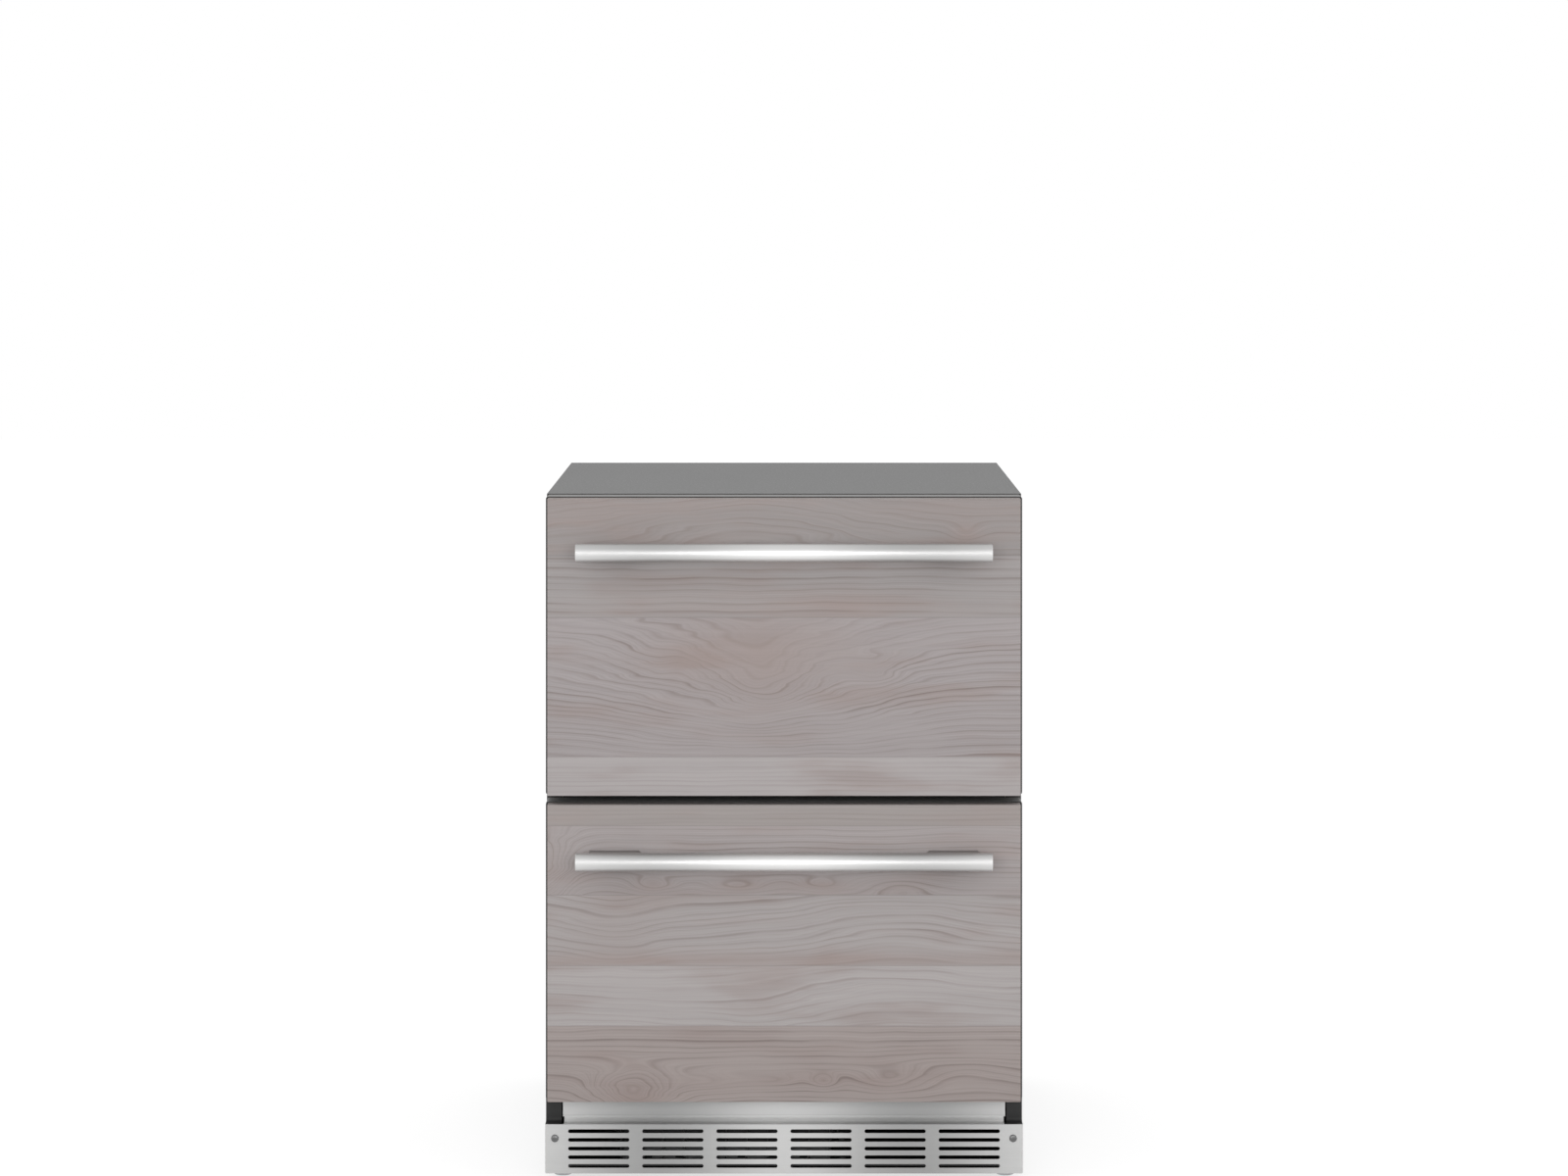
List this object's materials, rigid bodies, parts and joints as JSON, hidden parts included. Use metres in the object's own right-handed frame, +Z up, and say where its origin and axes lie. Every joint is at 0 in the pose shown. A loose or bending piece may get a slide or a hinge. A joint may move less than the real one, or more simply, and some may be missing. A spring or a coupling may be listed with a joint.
{
  "type": "undercounter drawer refrigerator",
  "caption": "Undercounter refrigerator with two wood-fronted drawers on telescopic slides, bar handles, a slotted toe grille and levelling feet.",
  "frame": {"origin": "on the floor, under the middle of the bounding box", "axes": "+Z up, the drawer fronts face -Y, +X to the right seen from the front"},
  "size_m": [0.606, 0.6652, 0.876],
  "materials": {
    "painted_grey_sheet": "satin",
    "zinc_sheet": "satin",
    "brushed_steel": "satin",
    "handle_steel": "satin",
    "screw_steel": "polished",
    "slide_steel": "satin",
    "dark_door_sheet": "satin",
    "black_moulding": "matte",
    "black_trim": "matte",
    "black_plastic": "matte",
    "black_enamel": "gloss",
    "white_plastic": "satin",
    "grey_plastic": "satin",
    "bin_plastic": "satin",
    "clear_plastic": "gloss",
    "gasket_rubber": "matte",
    "foam": "matte",
    "aluminium_fins": "satin",
    "copper_tube": "satin",
    "washed_wood": "satin"
  },
  "bodies": {
    "cabinet": {"side_panel_left": "painted_grey_sheet", "side_panel_right": "painted_grey_sheet", "top_panel": "painted_grey_sheet", "back_panel": "painted_grey_sheet", "machine_cover": "painted_grey_sheet", "base_pan": "zinc_sheet", "corner_block_left": "black_moulding", "corner_block_right": "black_moulding", "grille_screw_left": "screw_steel", "grille_screw_right": "screw_steel", "foam_insulation": "foam", "inner_liner": "white_plastic", "evaporator_cover": "white_plastic", "breaker_frame": "black_trim", "kick_rail": "brushed_steel", "toe_grille": "brushed_steel", "control_housing": "grey_plastic", "light_lens": "clear_plastic", "evaporator_coil": "aluminium_fins", "evaporator_fan_motor": "black_plastic", "drain_pan": "black_plastic", "condenser_fan_shroud": "black_plastic", "condenser_fan_motor": "black_enamel", "compressor": "black_enamel", "condenser_coil": "black_enamel", "refrigerant_line": "copper_tube", "lower_slide_fixed_left": "slide_steel", "lower_slide_fixed_right": "slide_steel", "upper_slide_fixed_left": "slide_steel", "upper_slide_fixed_right": "slide_steel"},
    "lower_drawer": {"lower_runner_left": "slide_steel", "lower_handle_post_left": "handle_steel", "lower_runner_right": "slide_steel", "lower_handle_post_right": "handle_steel", "lower_door_shell": "dark_door_sheet", "lower_inner_door": "white_plastic", "lower_gasket": "gasket_rubber", "lower_front_panel": "washed_wood", "lower_handle_bar": "handle_steel", "lower_bin": "bin_plastic"},
    "lower_slide_middles": {"lower_slide_middle_left": "slide_steel", "lower_slide_middle_right": "slide_steel"},
    "upper_drawer": {"upper_runner_left": "slide_steel", "upper_handle_post_left": "handle_steel", "upper_runner_right": "slide_steel", "upper_handle_post_right": "handle_steel", "upper_door_shell": "dark_door_sheet", "upper_inner_door": "white_plastic", "upper_gasket": "gasket_rubber", "upper_front_panel": "washed_wood", "upper_handle_bar": "handle_steel", "upper_bin": "bin_plastic"},
    "upper_slide_middles": {"upper_slide_middle_left": "slide_steel", "upper_slide_middle_right": "slide_steel"},
    "evaporator_fan_body": {"evaporator_fan": "white_plastic"},
    "levelling_foot_front_left_body": {"levelling_foot_front_left": "zinc_sheet"},
    "levelling_foot_front_right_body": {"levelling_foot_front_right": "zinc_sheet"},
    "levelling_foot_rear_left_body": {"levelling_foot_rear_left": "zinc_sheet"},
    "levelling_foot_rear_right_body": {"levelling_foot_rear_right": "zinc_sheet"},
    "condenser_fan_body": {"condenser_fan": "black_plastic"}
  },
  "joints": [
    {"name": "lower_drawer_slide", "type": "slide", "parent": "cabinet", "child": "lower_drawer", "axis": [0, -1, 0], "range_m": [0, 0.4]},
    {"name": "lower_slide_extension", "type": "slide", "parent": "cabinet", "child": "lower_slide_middles", "axis": [0, -1, 0], "range_m": [0, 0.2]},
    {"name": "upper_drawer_slide", "type": "slide", "parent": "cabinet", "child": "upper_drawer", "axis": [0, -1, 0], "range_m": [0, 0.4]},
    {"name": "upper_slide_extension", "type": "slide", "parent": "cabinet", "child": "upper_slide_middles", "axis": [0, -1, 0], "range_m": [0, 0.2]},
    {"name": "evaporator_fan_spin", "type": "hinge", "parent": "cabinet", "child": "evaporator_fan_body", "pos_m": [0, 0.25012, 0.761], "axis": [0, -1, 0], "continuous": true},
    {"name": "condenser_fan_spin", "type": "hinge", "parent": "cabinet", "child": "condenser_fan_body", "pos_m": [-0.075, 0.14292, 0.1138], "axis": [0, -1, 0], "continuous": true},
    {"name": "foot_height_front_left", "type": "slide", "parent": "cabinet", "child": "levelling_foot_front_left_body", "axis": [0, 0, 1], "range_m": [-0.025, 0]},
    {"name": "foot_height_front_right", "type": "slide", "parent": "cabinet", "child": "levelling_foot_front_right_body", "axis": [0, 0, 1], "range_m": [-0.025, 0]},
    {"name": "foot_height_rear_left", "type": "slide", "parent": "cabinet", "child": "levelling_foot_rear_left_body", "axis": [0, 0, 1], "range_m": [-0.025, 0]},
    {"name": "foot_height_rear_right", "type": "slide", "parent": "cabinet", "child": "levelling_foot_rear_right_body", "axis": [0, 0, 1], "range_m": [-0.025, 0]}
  ],
  "couplings": [
    {"joint": "lower_slide_extension", "follows": "lower_drawer_slide", "ratio": 0.5},
    {"joint": "upper_slide_extension", "follows": "upper_drawer_slide", "ratio": 0.5}
  ]
}
